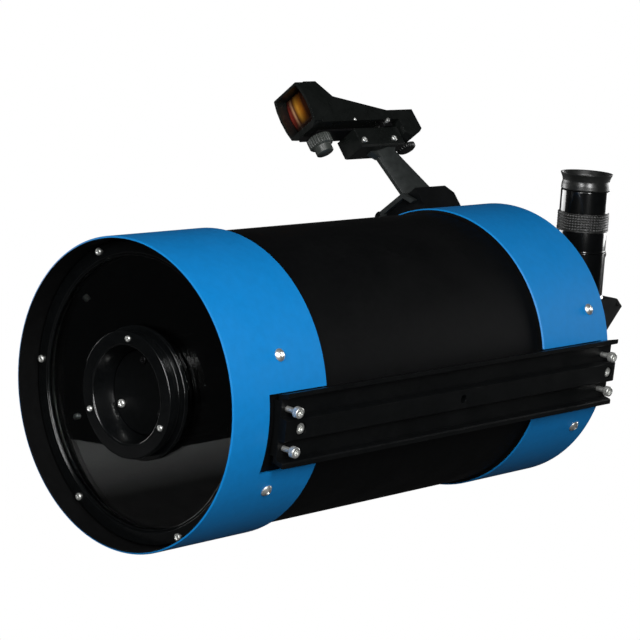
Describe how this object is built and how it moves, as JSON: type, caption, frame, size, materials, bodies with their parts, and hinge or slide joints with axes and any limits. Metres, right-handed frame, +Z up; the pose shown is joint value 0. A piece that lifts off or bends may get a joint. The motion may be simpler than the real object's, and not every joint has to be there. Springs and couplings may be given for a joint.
{
  "type": "telescope optical tube",
  "caption": "Compound mirror telescope tube with glass corrector, side dovetail rail, red-dot finder on a stalk, right-angle mirror diagonal and eyepiece.",
  "frame": {"origin": "middle of the dovetail rail's outer face, at the mouth of its middle thread", "axes": "+X out of the rail's face, away from the tube; +Y along the optical axis towards the eyepiece end; +Z up, the eyepiece points to it within 3 degrees"},
  "size_m": [0.2496, 0.464, 0.2508],
  "materials": {
    "blue_paint": "satin enamel",
    "black_enamel": "satin enamel",
    "black_anodised": "satin anodised",
    "matt_black": "matt",
    "stainless": "turned",
    "black_oxide": "blackened",
    "chrome": "polished",
    "bare_aluminium": "machined",
    "cast_grey": "bead blasted, dark",
    "black_plastic": "fine moulded texture",
    "rubber": "soft matt",
    "brass": "turned",
    "mirror": "aluminised",
    "corrector_glass": "coated",
    "lens_glass": "coated",
    "orange_glass": "red and gold reflective coat",
    "emitter_red": "clear red"
  },
  "bodies": {
    "tube": {"front_cell": "blue_paint", "corrector_plate": "corrector_glass", "corrector_gasket": "rubber", "retaining_ring": "black_anodised", "ring_screws": "stainless", "secondary_housing": "black_anodised", "housing_screws": "stainless", "collimation_plate": "black_anodised", "secondary_baffle": "matt_black", "main_tube": "black_enamel", "rear_cell": "blue_paint", "cell_screws": "stainless", "rail_blocks": "black_anodised", "dovetail_rail": "black_anodised", "rail_screws": "stainless", "primary_baffle": "matt_black", "focus_bearing": "black_anodised", "rear_port": "black_anodised", "visual_back": "black_anodised", "finder_shoe": "black_anodised", "shoe_screws": "stainless"},
    "secondary": {"secondary_cell": "matt_black", "secondary_mirror": "mirror"},
    "collimator_1": {"collimation_screw_1": "black_oxide"},
    "collimator_2": {"collimation_screw_2": "stainless"},
    "collimator_3": {"collimation_screw_3": "black_oxide"},
    "cone_front_top": {"cone_screw_front_top": "stainless"},
    "cone_front_bottom": {"cone_screw_front_bottom": "stainless"},
    "cone_rear_top": {"cone_screw_rear_top": "stainless"},
    "cone_rear_bottom": {"cone_screw_rear_bottom": "stainless"},
    "primary": {"primary_mirror": "mirror", "mirror_carriage": "bare_aluminium"},
    "focuser": {"focus_shaft": "brass", "focus_knob": "rubber"},
    "nose_lock": {"visual_back_thumbscrew": "bare_aluminium"},
    "diagonal": {"diagonal_nose": "chrome", "diagonal_housing": "black_plastic", "diagonal_side_plates": "black_plastic", "diagonal_screws": "black_oxide", "diagonal_mirror": "mirror", "eyepiece_holder": "black_anodised"},
    "eyepiece_lock": {"eyepiece_thumbscrew": "black_anodised"},
    "eyepiece": {"eyepiece_barrel": "chrome", "eyepiece_body": "black_anodised", "eyepiece_grip": "rubber", "eyecup": "rubber", "eyepiece_lenses": "lens_glass"},
    "shoe_lock": {"shoe_thumbscrew": "black_anodised"},
    "finder_mount": {"finder_bracket": "cast_grey", "finder_cradle": "black_plastic", "cradle_screws": "stainless"},
    "finder_swivel": {"finder_plate": "black_oxide", "finder_pivot_pin": "stainless"},
    "finder": {"finder_body": "black_plastic", "finder_lens": "orange_glass", "finder_emitter": "emitter_red"},
    "alt_adjuster": {"altitude_knob": "black_plastic"},
    "az_adjuster": {"azimuth_knob": "black_plastic"},
    "dimmer": {"brightness_dial": "black_plastic"}
  },
  "joints": [
    {"name": "focus_turn", "type": "hinge", "parent": "tube", "child": "focuser", "pos_m": [-0.1415, 0.174, -0.036], "axis": [0, 1, 0], "range_deg": [-2710, 2710]},
    {"name": "mirror_travel", "type": "slide", "parent": "tube", "child": "primary", "axis": [0, 1, 0], "range_m": [-0.006, 0.006]},
    {"name": "secondary_tip", "type": "hinge", "parent": "tube", "child": "secondary", "pos_m": [-0.0995, -0.16, 0], "axis": [1, 0, 0], "range_deg": [-1, 1]},
    {"name": "collimator_1_turn", "type": "hinge", "parent": "tube", "child": "collimator_1", "pos_m": [-0.10052, -0.1726, 0.01947], "axis": [0, 1, 0], "range_deg": [-250, 250]},
    {"name": "collimator_2_turn", "type": "hinge", "parent": "tube", "child": "collimator_2", "pos_m": [-0.11585, -0.1726, -0.01062], "axis": [0, 1, 0], "range_deg": [-250, 250]},
    {"name": "collimator_3_turn", "type": "hinge", "parent": "tube", "child": "collimator_3", "pos_m": [-0.08213, -0.1726, -0.00885], "axis": [0, 1, 0], "range_deg": [-250, 250]},
    {"name": "cone_front_top_turn", "type": "hinge", "parent": "tube", "child": "cone_front_top", "pos_m": [0.0015, -0.151, 0.0115], "axis": [1, 0, 0], "range_deg": [-360, 360]},
    {"name": "cone_front_bottom_turn", "type": "hinge", "parent": "tube", "child": "cone_front_bottom", "pos_m": [0.0015, -0.151, -0.0115], "axis": [1, 0, 0], "range_deg": [-360, 360]},
    {"name": "cone_rear_top_turn", "type": "hinge", "parent": "tube", "child": "cone_rear_top", "pos_m": [0.0015, 0.1465, 0.0115], "axis": [1, 0, 0], "range_deg": [-360, 360]},
    {"name": "cone_rear_bottom_turn", "type": "hinge", "parent": "tube", "child": "cone_rear_bottom", "pos_m": [0.0015, 0.1465, -0.0115], "axis": [1, 0, 0], "range_deg": [-360, 360]},
    {"name": "nose_lock_turn", "type": "hinge", "parent": "tube", "child": "nose_lock", "pos_m": [-0.1255, 0.19, 0], "axis": [-1, 0, 0], "range_deg": [-10, 540]},
    {"name": "diagonal_turn", "type": "hinge", "parent": "tube", "child": "diagonal", "pos_m": [-0.0995, 0.21, 0], "axis": [0, 1, 0], "continuous": true},
    {"name": "eyepiece_lock_turn", "type": "hinge", "parent": "diagonal", "child": "eyepiece_lock", "pos_m": [-0.10212, 0.266, 0.04993], "axis": [0, 1, 0], "range_deg": [-10, 540]},
    {"name": "eyepiece_lift", "type": "slide", "parent": "diagonal", "child": "eyepiece", "axis": [-0.0523, 0, 0.9986], "range_m": [0, 0.03]},
    {"name": "shoe_lock_turn", "type": "hinge", "parent": "tube", "child": "shoe_lock", "pos_m": [-0.18182, 0.1285, 0.06871], "axis": [-0.9888, 0, -0.1495], "range_deg": [-10, 540]},
    {"name": "finder_slide", "type": "slide", "parent": "tube", "child": "finder_mount", "axis": [0, 1, 0], "range_m": [0, 0.04]},
    {"name": "finder_swing", "type": "hinge", "parent": "finder_mount", "child": "finder_swivel", "pos_m": [-0.20991, 0.135, 0.12262], "axis": [-0.6691, 0, 0.7431], "range_deg": [-1.5, 1.5]},
    {"name": "finder_tilt", "type": "hinge", "parent": "finder_swivel", "child": "finder", "pos_m": [-0.21285, 0.1395, 0.12589], "axis": [0.7431, 0, 0.6691], "range_deg": [-1.2, 1.2]},
    {"name": "alt_adjuster_turn", "type": "hinge", "parent": "finder_swivel", "child": "alt_adjuster", "pos_m": [-0.20656, 0.076, 0.1189], "axis": [-0.6691, 0, 0.7431], "range_deg": [-720, 720]},
    {"name": "az_adjuster_turn", "type": "hinge", "parent": "finder", "child": "az_adjuster", "pos_m": [-0.19987, 0.16, 0.11147], "axis": [-0.6691, 0, 0.7431], "range_deg": [-380, 380]},
    {"name": "dimmer_turn", "type": "hinge", "parent": "finder", "child": "dimmer", "pos_m": [-0.22247, 0.16, 0.11669], "axis": [-0.7431, 0, -0.6691], "range_deg": [0, 270]}
  ],
  "couplings": [
    {"joint": "focus_turn", "follows": "mirror_travel", "rad_per_m": -7854},
    {"joint": "collimator_1_turn", "follows": "secondary_tip", "ratio": 244.71},
    {"joint": "collimator_2_turn", "follows": "secondary_tip", "ratio": -133.46},
    {"joint": "collimator_3_turn", "follows": "secondary_tip", "ratio": -111.25},
    {"joint": "alt_adjuster_turn", "follows": "finder_tilt", "ratio": 569.97},
    {"joint": "az_adjuster_turn", "follows": "finder_swing", "ratio": 250}
  ]
}
